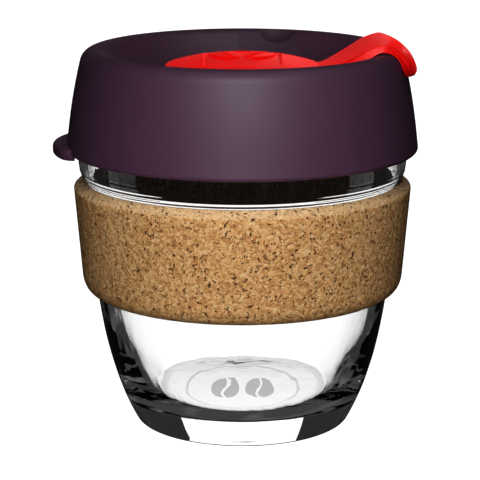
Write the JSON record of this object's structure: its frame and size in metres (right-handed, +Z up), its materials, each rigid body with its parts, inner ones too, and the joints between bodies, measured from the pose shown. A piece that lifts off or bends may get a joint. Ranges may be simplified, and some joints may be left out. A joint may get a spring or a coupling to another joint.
{
  "type": "reusable glass coffee cup",
  "caption": "Reusable glass coffee cup with a cork band, a press-on lid and a swivelling drinking plug on a lifting arm.",
  "frame": {"origin": "centre of the glass base, on the surface it stands on", "axes": "+Z up along the cup's axis, +X towards the drinking opening and the plug's arm, -X towards the lid's pull tab"},
  "size_m": [0.0916, 0.088, 0.0977],
  "materials": {
    "glass": "clear, fire-polished, thick base",
    "cork": "pressed cork granules, sanded",
    "lid_plastic": "dark aubergine, fine matt texture",
    "plug_rubber": "red, satin"
  },
  "bodies": {
    "cup": {"glass_cup": "glass"},
    "band": {"cork_band": "cork"},
    "lid": {"lid": "lid_plastic"},
    "plug": {"plug_disc": "plug_rubber"},
    "arm": {"plug_arm": "plug_rubber", "plug_stopper": "plug_rubber"}
  },
  "joints": [
    {"name": "band_slide", "type": "slide", "parent": "cup", "child": "band", "axis": [0, 0, -1], "range_m": [0, 0.033]},
    {"name": "lid_lift", "type": "slide", "parent": "cup", "child": "lid", "axis": [0, 0, 1], "range_m": [0, 0.05]},
    {"name": "plug_swivel", "type": "hinge", "parent": "lid", "child": "plug", "pos_m": [0, 0, 0.0864], "axis": [0, 0, 1], "range_deg": [0, 110]},
    {"name": "arm_lift", "type": "hinge", "parent": "plug", "child": "arm", "pos_m": [0.0186, 0, 0.08935], "axis": [0, -1, 0], "range_deg": [0, 35], "deforming": ["plug_stopper"]}
  ]
}
